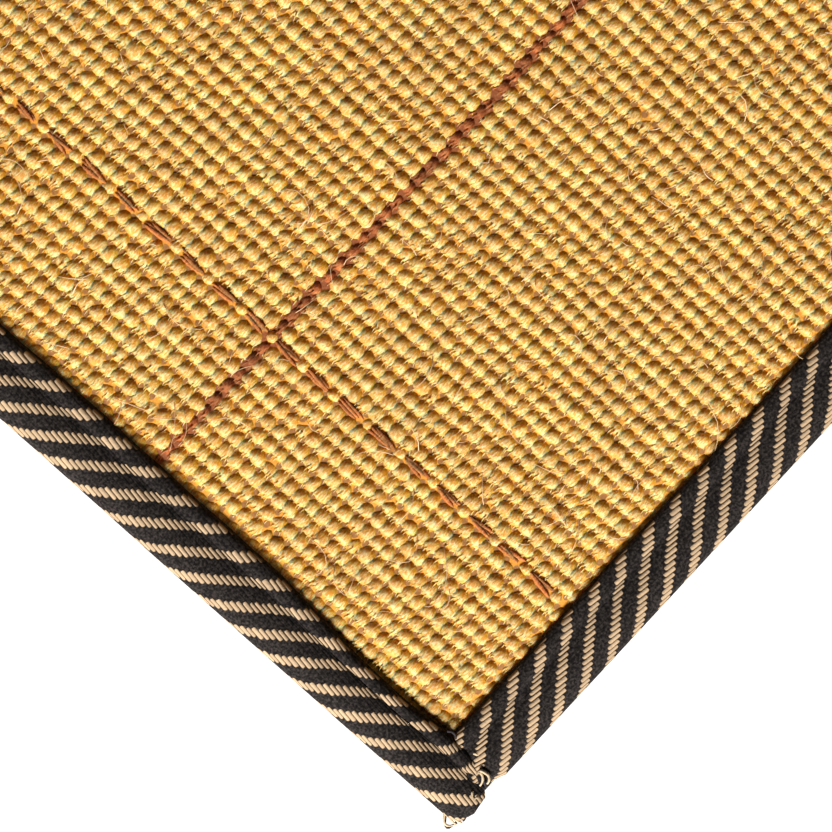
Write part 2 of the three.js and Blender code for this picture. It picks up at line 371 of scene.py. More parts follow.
def closeGround(piece):
    # the rim goes down and in to the flat sole that lies on the floor
    pickOnly(piece)
    bpy.ops.object.mode_set(mode="EDIT")
    bpy.ops.mesh.select_mode(type="EDGE")
    bpy.ops.mesh.select_all(action="SELECT")
    bpy.ops.mesh.region_to_loop()
    reachX = cellX[-1] + weave["waveHeight"]
    reachY = cellY[-1] + weave["waveHeight"]
    outX, outY = ground["rim"], ground["rim"] - halfX + halfY
    soleX = halfX - ground["soleFrom"]
    soleY = halfY - ground["soleFrom"]
    # out under the tape, down its inside, back in, and down to the floor
    steps = ((outX / reachX, outY / reachY, ground["rimRise"]), (1, 1, -ground["rimDrop"]),
             (soleX / outX, soleY / outY, 0), (1, 1, 0))
    for scaleX, scaleY, lift in steps:
        bpy.ops.mesh.extrude_region_move(TRANSFORM_OT_translate={"value": (0, 0, lift)})
        bpy.ops.transform.resize(value=(scaleX, scaleY, 1), center_override=(0, 0, 0))
    bpy.ops.object.mode_set(mode="OBJECT")
    levelLast(piece)


def levelLast(piece):
    # the last loops are set to the height of the hidden rim and of the sole
    mesh = bmesh.new()
    mesh.from_mesh(piece.data)
    mesh.verts.ensure_lookup_table()
    rim = 2 * (len(cellX) + len(cellY)) - 4
    total = len(mesh.verts)
    for vert in mesh.verts[total - 3 * rim:total - rim]:
        vert.co.z = ground["under"]
    for vert in mesh.verts[total - rim:]:
        vert.co.z = ground["sole"]
    edges = [e for e in mesh.edges if e.is_boundary]
    bmesh.ops.contextual_create(mesh, geom=edges)
    bmesh.ops.recalc_face_normals(mesh, faces=mesh.faces)
    mesh.to_mesh(piece.data)
    mesh.free()


cellX, cellY = between(rowX), between(beadY)
groundPiece = makeGround()
print("ground woven:", len(groundPiece.data.polygons), "faces")


# One bead of sisal, as a low plump knuckle of unit size, and its copies
bead = {
    "sides": 8,
    "kinds": 6,
    "length": 2.75 * mm,  # half, across the row
    "width": 3.2 * mm,  # half, along the row
    "height": 2.95 * mm,
    # the shape, in half lengths: a drum with a narrower lid, drawn up to a peak and made uneven
    "drumRadius": 1.1,
    "drumHeight": 0.42,
    "lidShare": 0.86,
    "lidRise": 0.13,
    "peakRise": 0.36,
    "uneven": 0.12,
    "sizeSpread": 0.07,
    "heightSpread": 0.08,
    "turnSpread": math.radians(9),
    "placeSpread": 0.16 * mm,
    "rowShift": 0.21 * mm,  # how far a whole row strays along itself, and sideways
    "rowSlide": 0.1 * mm,
    "lean": -0.34,  # its peak is nearer the front
    "taper": 0.25,  # and its back is narrower, longer and less steep
    "backLonger": 0.16,
    "sunk": 0.1 * mm,
}


def pickParts(thing, kind, wanted):
    # picks points or faces of a piece and leaves it in edit mode
    bpy.ops.object.mode_set(mode="EDIT")
    bpy.ops.mesh.select_mode(type=kind)
    bpy.ops.mesh.select_all(action="DESELECT")
    bpy.ops.object.mode_set(mode="OBJECT")
    for part in thing.data.polygons if kind == "FACE" else thing.data.vertices:
        part.select = wanted(part)
    bpy.ops.object.mode_set(mode="EDIT")


def addDrum(sides, radius, height, turn=0):
    # a drum that stands on the floor, with its upper face picked
    pickOnly()
    bpy.ops.mesh.primitive_cylinder_add(vertices=sides, radius=radius, depth=height, end_fill_type="NGON",
                                        location=(0, 0, height / 2), rotation=(0, 0, turn))
    drum = bpy.context.object
    bpy.ops.object.transform_apply(location=True, rotation=True, scale=True)
    pickParts(drum, "FACE", lambda face: face.normal.z > 0.9)
    return drum


def modelBead(kind):
    knuckle = addDrum(bead["sides"], bead["drumRadius"], bead["drumHeight"], kind * 0.7)
    bpy.ops.transform.resize(value=(bead["lidShare"], bead["lidShare"], 1),
                             center_override=(0, 0, bead["drumHeight"]))
    bpy.ops.transform.translate(value=(0, 0, bead["lidRise"]))
    bpy.ops.mesh.poke(offset=bead["peakRise"])
    aboveLid = 0.8
    pickParts(knuckle, "VERT", lambda vert: vert.co.z > aboveLid)
    bpy.ops.transform.translate(value=(bead["lean"], 0, 0))
    pickParts(knuckle, "VERT", lambda vert: vert.co.x > 0.3 and vert.co.z < aboveLid)
    bpy.ops.transform.resize(value=(1, 1 - bead["taper"], 1), center_override=(0, 0, 0))
    bpy.ops.transform.translate(value=(bead["backLonger"], 0, 0))
    bpy.ops.mesh.select_all(action="SELECT")
    bpy.ops.transform.vertex_random(offset=bead["uneven"], seed=kind + 1)
    bpy.ops.object.mode_set(mode="OBJECT")
    shape = shapeOf(knuckle)
    bpy.data.objects.remove(knuckle)
    return shape


beadShapes = [modelBead(kind) for kind in range(bead["kinds"])]


def beadField():
    x, y = np.meshgrid(rowX, beadY, indexing="ij")
    rowShift = dice.normal(0, bead["rowShift"], len(rowX))[:, None]
    rowSlide = dice.normal(0, bead["rowSlide"], len(rowX))[:, None]
    x, y = x + rowSlide, y + rowShift
    x = x + dice.normal(0, bead["placeSpread"], x.shape)
    y = y + dice.normal(0, bead["placeSpread"], x.shape)
    wx, wy = swayed(x, y)
    return wx, wy, pinch(wx, wy)


beadX, beadYs, beadPinch = beadField()


def pressedDown(loose):
    # how tall a bead stays under the pull of the tape, and how high its foot lies
    shut = 1 - loose
    return 1 - weave["pinchedLoss"] * shut, weave["grooveFloor"] - weave["pinchedDrop"] * shut


def layBeads(name, picked, finish, size=(1, 1, 1)):
    # picked says for each bead of the weave whether it is laid
    count = int(picked.sum())
    share, foot = pressedDown(beadPinch[picked])
    spread = dice.normal(1, bead["sizeSpread"], (2, count))
    tall = dice.normal(1, bead["heightSpread"], count) * share
    places = np.stack([beadX[picked], beadYs[picked], foot - bead["sunk"]], 1)
    points, faces, order, side = copyMany(
        beadShapes, dice.integers(0, bead["kinds"], count), places,
        bead["length"] * spread[0] * size[0], bead["width"] * spread[1] * size[1],
        bead["height"] * tall * size[2], dice.normal(0, bead["turnSpread"], count))
    piece = meshPiece(name, points, faces, finish)
    addValues(piece, "tone", dice.uniform(0, 1, count)[order])
    addValues(piece, "side", side)
    return piece


isRustRow, isRustColumn = np.broadcast_arrays(rustRow[:, None], rustColumn[None])
inside = (np.abs(beadX) < halfX - weave["hiddenTo"]) & (np.abs(beadYs) < halfY - weave["hiddenTo"])
plainBeads = inside & ~isRustRow & ~isRustColumn
rustBeads = inside & isRustColumn & ~isRustRow
rowOrder = np.arange(len(rowX))
weavePieces = []
for number, rows in enumerate(np.array_split(rowOrder, 4), 1):
    band = plainBeads & np.isin(rowOrder, rows)[:, None]
    weavePieces.append(layBeads(f"sisalBeads{number}", band, sisalFinish))
weavePieces.append(layBeads("rustBeads", rustBeads, rustFinish, (0.95, 0.76, 0.9)))
print("beads laid:", int(inside.sum()))


# The rust row: leaf-shaped floats of loose fibre with a small sisal bead between them
rustFloat = {
    "repeat": 3,
    "strands": 3,
    "spread": 0.68 * mm,
    "length": 5.2 * mm,
    "width": 0.9 * mm,
    "height": 1.9 * mm,
    "rise": 0.5 * mm,  # above the floor of the groove
    "stray": 0.12 * mm,
    "slide": 0.4 * mm,
    "turnSpread": math.radians(6),
    # the shape, in half lengths: a drum and its narrower lid
    "sides": 8,
    "drumHeight": 0.5,
    "lidRise": 0.35,
    "lidShare": (0.55, 0.75, 1),
}


def modelFloat():
    leaf = addDrum(rustFloat["sides"], 1, rustFloat["drumHeight"])
    bpy.ops.mesh.extrude_region_move(TRANSFORM_OT_translate={"value": (0, 0, rustFloat["lidRise"])})
    lidHeight = rustFloat["drumHeight"] + rustFloat["lidRise"]
    bpy.ops.transform.resize(value=rustFloat["lidShare"], center_override=(0, 0, lidHeight))
    bpy.ops.object.mode_set(mode="OBJECT")
    shape = shapeOf(leaf)
    bpy.data.objects.remove(leaf)
    return shape


floatShape = modelFloat()
firstKnot = int(np.flatnonzero(rustColumn)[0]) % rustFloat["repeat"]  # a knot lies where the lines cross


def layFloats():
    starts = beadY[firstKnot::rustFloat["repeat"]]
    middles = (starts[1:] + starts[:-1]) / 2
    x = np.repeat(rowX[rustRow], len(middles))
    y = np.tile(middles, int(rustRow.sum()))
    wx, wy = swayed(x, y)
    keep = np.abs(wy) < halfY - weave["edge"] - 1 * mm
    wx, wy = wx[keep], wy[keep]
    strands = rustFloat["strands"]
    wx, wy = np.repeat(wx, strands), np.repeat(wy, strands)
    count = len(wx)
    beside = (np.tile(np.arange(strands), count // strands) - (strands - 1) / 2) * rustFloat["spread"]
    stray, slide, lift = (dice.normal(0, rustFloat[key], count) for key in ("stray", "slide", "stray"))
    places = np.stack([wx + beside + stray, wy + slide,
                       weave["grooveFloor"] + rustFloat["rise"] + lift], 1)
    points, faces, order, side = copyMany([floatShape], np.zeros(count, int), places,
                                          rustFloat["width"] * dice.normal(1, 0.1, count),
                                          rustFloat["length"] * dice.normal(1, 0.12, count),
                                          rustFloat["height"] * dice.normal(1, 0.08, count),
                                          dice.normal(0, rustFloat["turnSpread"], count))
    piece = meshPiece("rustFloats", points, faces, flossFinish)
    addValues(piece, "tone", dice.uniform(0, 1, count)[order])
    # the floats take the painted light of the front and the painted shade of the back, as the beads do
    addValues(piece, "side", 0.8 * side)
    return piece


def layRowKnots():
    knots = np.zeros(beadX.shape, bool)
    knots[:, firstKnot::rustFloat["repeat"]] = True
    return layBeads("rustRowKnots", knots & isRustRow & inside, sisalFinish, (0.74, 0.74, 1.05))


weavePieces += [layFloats(), layRowKnots()]
print("rust check lines woven")


# Thin round things: single fibres, and the frayed yarns at the corners

def tubes(name, lines, radii, finish, sides=3):
    # lines has one row of places a tube, radii one radius for each place
    count, steps = lines.shape[:2]
    ahead = np.gradient(lines, axis=1)
    ahead /= np.linalg.norm(ahead, axis=2, keepdims=True) + 1e-12
    aside = np.cross(ahead, [0.02, 0.01, 1.0])
    aside /= np.linalg.norm(aside, axis=2, keepdims=True) + 1e-12
    upward = np.cross(aside, ahead)
    angles = np.arange(sides) * 2 * math.pi / sides + math.pi / 2
    ring = (np.cos(angles)[None, None, :, None] * aside[:, :, None]
            + np.sin(angles)[None, None, :, None] * upward[:, :, None])
    points = (lines[:, :, None] + ring * radii[:, :, None, None]).reshape(-1, 3)
    index = np.arange(len(points)).reshape(count, steps, sides)
    after = np.roll(index, -1, axis=2)
    walls = np.stack([index[:, :-1], index[:, 1:], after[:, 1:], after[:, :-1]], 3).reshape(-1, 4)
    caps = np.concatenate([index[:, 0], index[:, -1, ::-1]])
    return meshPiece(name, points, [walls, caps], finish)


def spikes(name, feet, tips, radius, finish):
    # a fibre end too short to bend: three corners and a point
    ahead = tips - feet
    ahead /= np.linalg.norm(ahead, axis=1, keepdims=True)
    aside = np.cross(ahead, [0.1, 0.05, 1.0])
    aside /= np.linalg.norm(aside, axis=1, keepdims=True)
    upward = np.cross(aside, ahead)
    angles = np.arange(3)[None, :, None] * 2 * math.pi / 3
    ring = np.cos(angles) * aside[:, None] + np.sin(angles) * upward[:, None]
    corners = feet[:, None] + ring * radius[:, None, None]
    points = np.concatenate([corners, tips[:, None]], axis=1).reshape(-1, 3)
    first = 4 * np.arange(len(feet))[:, None]
    faces = np.concatenate([first + f for f in ([[1, 0, 3]], [[2, 1, 3]], [[0, 2, 3]], [[0, 1, 2]])])
    return meshPiece(name, points, [faces], finish)


# Stray fibres that stand off the sisal
strayFibre = {
    "count": 1500,
    "radius": 0.19 * mm,
    "steps": 5,
    "shortest": 4 * mm,
    "longest": 22 * mm,
    "curl": 1.5,  # radians from end to end
    "crook": 0.12,
    "lift": 1.5 * mm,
    "bedded": 0.6 * mm,  # below the beads' tops
    "clearOfTape": 6 * mm,
}


def layFibres():
    count, steps = strayFibre["count"], strayFibre["steps"]
    reachX, reachY = [half - weave["edge"] - strayFibre["clearOfTape"] for half in (halfX, halfY)]
    startX = dice.uniform(-reachX, reachX, count)
    startY = dice.uniform(-reachY, reachY, count)
    heading = dice.uniform(0, 2 * math.pi, count)
    curl = dice.normal(0, strayFibre["curl"], count)
    span = strayFibre["longest"] - strayFibre["shortest"]
    length = strayFibre["shortest"] + span * dice.beta(1.3, 2.6, count)  # most are short
    t = np.linspace(0, 1, steps + 1)
    crooks = dice.normal(0, strayFibre["crook"], (count, steps + 1)).cumsum(1)
    turn = heading[:, None] + curl[:, None] * t[None] + crooks
    stepX = np.cos(turn) * (length / steps)[:, None]
    stepY = np.sin(turn) * (length / steps)[:, None]
    x = np.clip(startX[:, None] + stepX.cumsum(1), -reachX - 5 * mm, reachX + 5 * mm)
    y = np.clip(startY[:, None] + stepY.cumsum(1), -reachY - 5 * mm, reachY + 5 * mm)
    arch = np.sin(math.pi * np.clip(t * 1.15, 0, 1))[None] * dice.uniform(0.3, 1.4, count)[:, None]
    z = weave["beadTop"] - strayFibre["bedded"] + strayFibre["lift"] * arch
    radii = strayFibre["radius"] * dice.uniform(0.6, 1.1, count)[:, None] * (1 - 0.6 * t)[None]
    return tubes("strayFibres", np.stack([x, y, z], 2), radii, fibreFinish)


# Fibre ends that stand out over the front of each bead and make its outline ragged
beadFringe = {
    "each": 3,
    "radius": 0.5 * mm,
    # where they start and end, in half bead lengths from its middle and in bead heights
    "from": -0.3,
    "fromSpread": 0.08,
    "fromHeight": 0.7,
    "fromDrop": 0.28,  # lower at the bead's sides, so that each starts just inside it
    "to": -1.45,
    "toSpread": 0.1,
    "toHeight": 0.64,
    "toHeightSpread": 0.06,
    "round": 0.42,  # shorter at the bead's sides
    # the fibre ends take the painted light of a bead's front, not the painted shade of its back
    "side": -0.7,  # the colour of a bead's front
}


def layFringe(name, picked, finish):
    each = beadFringe["each"]
    x, y, loose = [np.repeat(v[picked], each) for v in (beadX, beadYs, beadPinch)]
    share, base = pressedDown(loose)
    tall = bead["height"] * share
    count = len(x)
    # from -1 to 1 across the bead
    slot = (np.tile(np.arange(each), count // each) + dice.uniform(0.1, 0.9, count)) / each * 2 - 1
    footX = beadFringe["from"] + dice.normal(0, beadFringe["fromSpread"], count)
    tipX = (beadFringe["to"] + beadFringe["round"] * slot ** 2
            + dice.normal(0, beadFringe["toSpread"], count))
    footZ = base + tall * (beadFringe["fromHeight"] - beadFringe["fromDrop"] * np.abs(slot))
    tipZ = base + tall * (beadFringe["toHeight"] - 0.1 * slot ** 2
                          + dice.normal(0, beadFringe["toHeightSpread"], count))
    footY, tipY = 0.75 * slot, 0.9 * slot + dice.normal(0, 0.1, count)
    feet = np.stack([x + footX * bead["length"], y + footY * bead["width"], footZ], 1)
    tips = np.stack([x + tipX * bead["length"], y + tipY * bead["width"], tipZ], 1)
    piece = spikes(name, feet, tips, beadFringe["radius"] * dice.uniform(0.7, 1.2, count), finish)
    addValues(piece, "tone", np.repeat(dice.uniform(0, 1, count), 4))
    addValues(piece, "side", np.full(4 * count, beadFringe["side"]))
    return piece


def looseFibre(name, gold, pale):
    # Single sisal fibres: pale straw, glossy, catching the light
    material, tree, skin = newMaterial(name, 0.35)
    place = addNode(tree, "TexCoord").outputs["Object"]
    patches = addNode(tree, "TexNoise", {"Scale": 90.0}, {"Vector": place})
    mix = addNode(tree, "Mix", {"data_type": "RGBA", "A": gold, "B": pale}, {"Factor": patches})
    plug(tree, mix, skin.inputs["Base Color"])
    return material


fibreFinish = looseFibre("looseSisalFibre", "#dca85e", "#fff0cc")
weavePieces.append(layFibres())
for number, rows in enumerate(np.array_split(rowOrder, 2), 1):
    band = plainBeads & np.isin(rowOrder, rows)[:, None]
    weavePieces.append(layFringe(f"beadFringe{number}", band, sisalFinish))
weavePieces.append(layFringe("rustFringe", rustBeads, rustFinish))
print("stray fibres and fibre ends laid")


# The binding tape, lofted along each side and folded round the edge
tape = {
    "thickness": 1.2 * mm,
    "step": 4 * mm,
    "halfHeight": 4.4 * mm,
    "start": 3 * mm,
    "edgeStray": 0.35 * mm,
    # its start is tucked under the last one
    "tuckFrom": 19.5 * mm,
    "tuckOver": 3 * mm,
    "tuckShift": 1.5 * mm,
    "tuckDrop": 0.9 * mm,
    # its end lies over the next one; all these are measured from the end
    "lapRise": 0.7 * mm,
    "lapFrom": 33 * mm,
    "lapFull": 21 * mm,
    "narrowing": 3.2 * mm,
    "narrowFrom": 110 * mm,
    "narrowOver": 65 * mm,
    "easing": 1.5 * mm,
    "easeFrom": 45 * mm,
    "easeOver": 25 * mm,
    "pull": 7.4 * mm,  # how far the inner corner of the cut end is drawn back
    "pullFrom": 30 * mm,
}
uvSpan = 100.0  # mm, or floats, in one unit of the tape's UV maps
# the tape's inner face, in mm inward from the rug's edge and up from the floor, from the hidden
# edge below to the inner edge on top; the cloth's thickness is laid outside it
tapeFace = [
    (19.4, 1.25), (13, 1.25), (8, 1.25), (3.6, 1.25), (1.5, 1.7), (0.4, 2.7), (0, 4.2), (0.4, 5.7),
    (1.4, 7.0), (2.9, 8.05), (4.7, 8.75), (6.8, 9.0), (8.8, 8.85), (10.8, 8.4), (12.6, 7.85),
    (14.0, 7.3), (14.9, 7.0), (15.6, 6.95), (16.3, 7.15), (17.3, 7.42), (18.5, 7.35), (19.8, 6.95),
    (20.7, 6.3), (21.3, 5.4),
]
sides = [
    # name, node, from, to, stretch of the pattern, where the pattern starts
    ("bindingLeft", "binding_left", (-1, 1), (-1, -1), 1.043, 6.7 * mm),
    ("bindingFront", "binding_front", (-1, -1), (1, -1), 1.0, -2.1 * mm),
    ("bindingRight", "binding_right", (1, -1), (1, 1), 1.02, 5 * mm),
    ("bindingBack", "binding_back", (1, 1), (-1, 1), 1.01, 9 * mm),
]


def edgeWander(distance, length):
    # the same slow wander as the solid edge has
    share = distance / length
    swell = np.sin(math.pi * share) ** 2
    slow = 0.5 - 0.5 * np.cos(4 * math.pi * share)
    quick = 0.5 - 0.5 * np.cos(10 * math.pi * share)
    return 0.8 * mm * swell * (0.65 * slow + 0.35 * quick)


def sideLine(begin, end):
    # where a side starts, how long it is, and which ways run along it and inwards
    start, stop = np.array(begin) * (halfX, halfY), np.array(end) * (halfX, halfY)
    length = float(np.linalg.norm(stop - start))
    along = (stop - start) / length
    return start, length, along, np.array([-along[1], along[0]])


def addUv(piece, name, u, v):
    layer = piece.data.uv_layers.new(name=name)
    corner = np.zeros(len(piece.data.loops), np.int32)
    piece.data.loops.foreach_get("vertex_index", corner)
    grid = np.stack([u, v], 2).reshape(-1, 2) / uvSpan
    layer.data.foreach_set("uv", grid[corner].astype(np.float32).ravel())


def foldTape(length, seed):
    # how far along a tape's points lie, also measured on the tape, how far in and how high
    depth, height = (np.array(tapeFace) * mm).T
    middle = tape["halfHeight"]
    straight = np.linspace(tape["start"], length - middle, int((length - middle) / tape["step"]))
    nose = np.radians([20, 40, 58, 74, 90])  # the end closes in a quarter round
    s = np.concatenate([straight, length - middle + middle * np.sin(nose)])
    run = np.concatenate([straight, length - middle + middle * nose])
    close = np.concatenate([np.ones(len(straight)), np.cos(nose)])
    left = length - s
    tuck = 1 - ease((s - tape["tuckFrom"]) / tape["tuckOver"])
    lap = ease((tape["lapFrom"] - left) / (tape["lapFrom"] - tape["lapFull"]))
    narrow = (ease((tape["narrowFrom"] - left) / tape["narrowOver"]) * tape["narrowing"]
              - ease((tape["easeFrom"] - left) / tape["easeOver"]) * tape["easing"])
    pull = ease((tape["pullFrom"] - left) / tape["pullFrom"]) * tape["pull"]
    ruffle = softWaves(s, 0 * s, seed, (24 * mm, 41 * mm, 90 * mm)) * tape["edgeStray"]
    # how much of each change a point of the section takes, by its distance from the edge
    atInner = np.clip((depth - 12 * mm) / (9 * mm), 0, 1) * (height > 4 * mm)
    atCut = np.clip((depth - 13 * mm) / (6.5 * mm), 0, 1)
    atOuter = np.clip(1 - depth / (12 * mm), 0, 1)
    atFold = 1 - ease((depth - 2 * mm) / (6 * mm))
    onTop = height > middle
    reach = s[:, None] - np.outer(pull, atCut)
    d = (depth + edgeWander(s, length)[:, None] + np.outer(ruffle - narrow, atInner)
         + np.outer(tuck, atOuter) * tape["tuckShift"])
    z = height + np.outer(lap * tape["lapRise"] - tuck * tape["tuckDrop"], onTop)
    shut = np.outer(1 - close, atFold)
    z = middle + (z - middle) * (1 - shut)
    d = d + shut * np.clip(4 * mm - depth, 0, None) * 0.7
    return run, reach, d, z


def countStripes(u, v):
    # the number of the float and of the stripe at a place on the tape; the stripes climb inwards
    slope, turn = math.radians(stripe["angle"]), math.radians(stripe["floatTurn"])
    stepU, stepV = stripe["floatStep"] * math.cos(slope), stripe["floatStep"] * math.sin(slope)
    wayU, wayV = math.cos(turn), -math.sin(turn)
    scale = stepU * wayV - stepV * wayU
    rise = stripe["start"] - v
    return (u * wayV - rise * wayU) / scale, (rise * stepU - u * stepV) / scale / stripeRepeat


def makeTape(name, node, begin, end, stretch, phase, seed):
    start, length, along, inwards = sideLine(begin, end)
    run, reach, d, z = foldTape(length, seed)
    flat = start + reach[..., None] * along + d[..., None] * inwards
    points = np.concatenate([flat, z[..., None]], 2).reshape(-1, 3)
    piece = meshPiece(name, points, [gridFaces(*z.shape)[:, ::-1]], tapeFinish)
    steps = np.hypot(*np.diff(np.array(tapeFace) * mm, axis=0).T)
    arc = np.concatenate([[0], np.cumsum(steps)])
    # across the tape, v is measured from the inner edge on top outwards
    u, v = np.meshgrid((run - phase) / stretch / mm, (arc[-1] - arc) / mm, indexing="ij")
    addUv(piece, "tapeUv", u, v)
    addUv(piece, "floatUv", *countStripes(u, v))
    thick = piece.modifiers.new("thickness", "SOLIDIFY")
    thick.thickness = tape["thickness"]
    thick.offset = -1
    pickOnly(piece)
    bpy.ops.object.modifier_apply(modifier="thickness")
    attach(piece, rug["body"])
    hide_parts(node)
    return piece


# Each stripe is a flight of short slanting floats, as long as the stripe is wide (mm and degrees)
stripe = {
    "period": 13.25,
    "angle": 37.0,
    "share": 0.4,
    "floatTurn": 8.0,
    "floatStep": 2.0,
    "start": 60.0,
    "stitchLine": 6.6,
    "selvedge": 0.9,
}
floatSlant = math.radians(stripe["angle"] + stripe["floatTurn"])
stripeRepeat = stripe["period"] * math.sin(math.radians(stripe["angle"])) / math.sin(floatSlant)


def stripedTape(name, dark, faded, paintedShadeTan, straw):
    # Cotton twill tape: matt, black with beige diagonal stripes, whose floats step like a saw
    material, tree, skin = newMaterial(name, 0.9, 0.15)
    place = addNode(tree, "TexCoord").outputs["Object"]
    uv = addNode(tree, "UVMap", {"uv_map": "tapeUv"})
    part = addNode(tree, "SeparateXYZ", None, {0: uv}).outputs[1]
    inwards = addNode(tree, "Math", {"operation": "MULTIPLY", 1: uvSpan}, {0: part})
    # the floats aren't quite evenly spaced
    floatUv = addNode(tree, "UVMap", {"uv_map": "floatUv"})
    count = addNode(tree, "VectorMath", {"operation": "SCALE", "Scale": uvSpan}, {0: floatUv})
    uneven = addNode(tree, "TexNoise", {"Scale": 0.6, "Detail": 1.0}, {"Vector": count}).outputs["Color"]
    shift = addNode(tree, "VectorMath",
                    {"operation": "MULTIPLY_ADD", 1: (0.5, 0, 0), 2: (-0.25, 0, 0)}, {0: uneven})
    moved = addNode(tree, "VectorMath", {"operation": "ADD"}, {0: count, 1: shift})
    number = addNode(tree, "SeparateXYZ", None, {0: moved})
    # across one float: 0 on its ridge, 1 in the gap
    sideways = addNode(tree, "Math", {"operation": "WRAP", 1: 0.5, 2: -0.5}, {0: number})
    gap = addNode(tree, "Math", {"operation": "PINGPONG", 1: 0.5}, {0: number})
    gapSquare = addNode(tree, "Math", {"operation": "POWER", 1: 2.0}, {0: gap})
    crown = addNode(tree, "MapRange", {"From Max": 0.25, "To Min": 1.0, "To Max": 0.0}, {"Value": gapSquare})
    # along one float, whose ends are square to it and slightly rounded
    square = stripe["floatStep"] * math.cos(floatSlant) / stripeRepeat
    level = addNode(tree, "Math", {"operation": "MULTIPLY_ADD", 1: square},
                    {0: sideways, 2: number.outputs[1]})
    far = addNode(tree, "Math", {"operation": "PINGPONG", 1: 0.5}, {0: level})
    gapFourth = addNode(tree, "Math", {"operation": "POWER", 1: 2.0}, {0: gapSquare})
    rounding = addNode(tree, "Math", {"operation": "MULTIPLY", 1: -0.9}, {0: gapFourth})
    # every float is a little longer or shorter and paler or darker
    middle = addNode(tree, "VectorMath", {"operation": "ADD", 1: (0.5, 0.5, 0)}, {0: moved})
    floatName = addNode(tree, "VectorMath", {"operation": "FLOOR"}, {0: middle})
    luck = addNode(tree, "TexWhiteNoise", {"noise_dimensions": "2D"}, {"Vector": floatName})
    reach = addNode(tree, "MapRange", {"To Min": stripe["share"] * 0.44, "To Max": stripe["share"] * 0.56},
                    {"Value": luck})
    end = addNode(tree, "Math", {"operation": "ADD"}, {0: reach, 1: rounding})
    inside = addNode(tree, "Math", {"operation": "SUBTRACT"}, {0: end, 1: far})
    pale = addNode(tree, "MapRange", {"From Min": -0.01, "From Max": 0.02}, {"Value": inside})
    body = addNode(tree, "MapRange",
                   {"From Min": stripe["selvedge"], "From Max": stripe["selvedge"] + 0.8},
                   {"Value": inwards})
    mask = addNode(tree, "Math", {"operation": "MULTIPLY"}, {0: pale, 1: body})
    lint = addNode(tree, "TexNoise", {"Scale": 1100.0, "Detail": 3.0, "Roughness": 0.6}, {"Vector": place})
    fleck = addNode(tree, "MapRange", {"From Min": 0.42, "From Max": 0.68}, {"Value": lint})
    black = addNode(tree, "Mix", {"data_type": "RGBA", "A": dark, "B": faded}, {"Factor": fleck})
    # painted shade: the floats are darker tan in the gaps between them and paler straw on their ridges
    paintedGapShadeMix = addNode(tree, "MapRange", {"From Max": 0.4}, {"Value": crown})
    beige = addNode(tree, "Mix", {"data_type": "RGBA", "A": paintedShadeTan, "B": straw}, {"Factor": paintedGapShadeMix})
    worn = addNode(tree, "MapRange", {"To Min": 0.86, "To Max": 1.1}, {"Value": luck})
    floats = addNode(tree, "HueSaturation", None, {"Color": beige, "Value": worn})
    colour = addNode(tree, "Mix", {"data_type": "RGBA"}, {"Factor": mask, "A": black, "B": floats})
    # a dark line at the stitching: partly the dark thread's own colour, partly painted shade in the groove
    # it pulls into the tape
    stitch = addNode(tree, "Math", {"operation": "COMPARE", 1: stripe["stitchLine"], 2: 0.22}, {0: inwards})
    shade = addNode(tree, "Math", {"operation": "MULTIPLY", 1: 0.3}, {0: stitch})
    dimmed = addNode(tree, "Mix", {"data_type": "RGBA", "B": "#17141a"}, {"Factor": shade, "A": colour})
    # the beige floats stand highest, and lint softens both
    raised = addNode(tree, "Math", {"operation": "MULTIPLY_ADD", 1: 0.85, 2: 0.15}, {0: mask})
    arch = addNode(tree, "Math", {"operation": "SQRT"}, {0: crown})
    yarn = addNode(tree, "Math", {"operation": "MULTIPLY"}, {0: raised, 1: arch})
    height = addNode(tree, "Math", {"operation": "MULTIPLY_ADD", 1: 0.35}, {0: lint, 2: yarn})
    bump = addNode(tree, "Bump", {"Strength": 1.0, "Distance": 0.6 * mm}, {"Height": height})
    plug(tree, dimmed, skin.inputs["Base Color"])
    plug(tree, bump, skin.inputs["Normal"])
    return material


# the tan colour is painted shade in the gaps between the beige floats
tapeFinish = stripedTape("stripedCottonTwill", "#0f0b09", "#3d3633", "#8c6a42", "#b99d7c")


# Where each tape was cut off at a corner, its yarns have come loose
fray = {
    "radius": 0.5 * mm,
    "steps": 9,
    "sides": 5,
}
frayedYarns = [
    # three places on each yarn, as far in and as far back from the corner, then its height (mm)
    ((18.1, 7.6), (17.2, 5.3), (14.6, 4.1), 10.0, "pale"),
    ((19.4, 5.4), (18.4, 3.5), (16.7, 2.8), 10.0, "pale"),
    ((18.4, 7.9), (19.0, 6.4), (18.9, 4.0), 10.2, "pale"),
    ((17.6, 5.9), (16.6, 4.2), (15.6, 2.2), 9.6, "black"),
    ((11.6, 5.0), (9.8, 3.2), (8.1, 1.4), 9.9, "pale"),
    ((11.4, 2.4), (9.3, 2.4), (7.2, 1.9), 9.9, "pale"),
    ((0.2, 5.6), (-3.4, 2.2), (-0.6, -0.8), 3.4, "pale"),
    ((-0.6, 4.6), (-4.0, 0.8), (0.6, -0.4), 2.6, "black"),
    ((2.2, 3.4), (0.6, 1.4), (1.0, -1.0), 6.4, "pale"),
    ((1.4, 4.4), (-0.6, 2.6), (-0.9, 0.2), 5.2, "pale"),
    ((4.8, 2.7), (3.7, 0.2), (1.8, -0.7), 7.2, "black"),
    ((7.5, 2.2), (7.0, 0.6), (5.2, -0.5), 8.0, "black"),
    ((21.2, 13.1), (21.9, 10.5), (21.1, 8.1), 8.6, "pale"),
    ((20.8, 24.7), (21.8, 22.8), (20.8, 20.6), 8.3, "black"),
]


